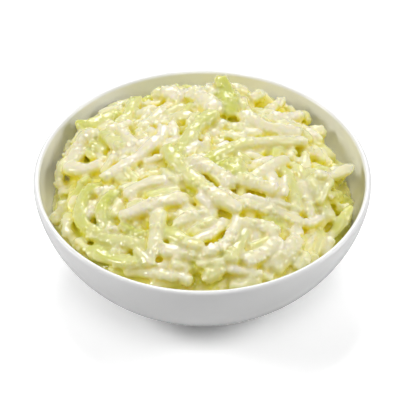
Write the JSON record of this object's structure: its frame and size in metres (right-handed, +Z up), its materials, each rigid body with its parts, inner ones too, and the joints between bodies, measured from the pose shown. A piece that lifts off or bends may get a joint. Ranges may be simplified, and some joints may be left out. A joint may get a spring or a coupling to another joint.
{
  "type": "coleslaw",
  "caption": "Creamy coleslaw of shredded cabbage, heaped over the rim of a plain white round bowl with a foot ring.",
  "frame": {"origin": "on the table, under the middle of the bowl, at the bottom centre of the whole part", "axes": "+Z up, out of the bowl's mouth; -Y is the front; +X is to the right of it"},
  "size_m": [0.14, 0.14, 0.0601],
  "materials": {
    "white_glaze": "smooth white glaze, glossy",
    "dressed_cabbage": "cream white to pale green shreds, wet with a glossy pale yellow dressing"
  },
  "bodies": {
    "root": {"bowl": "white_glaze", "coleslaw": "dressed_cabbage"}
  },
  "joints": []
}
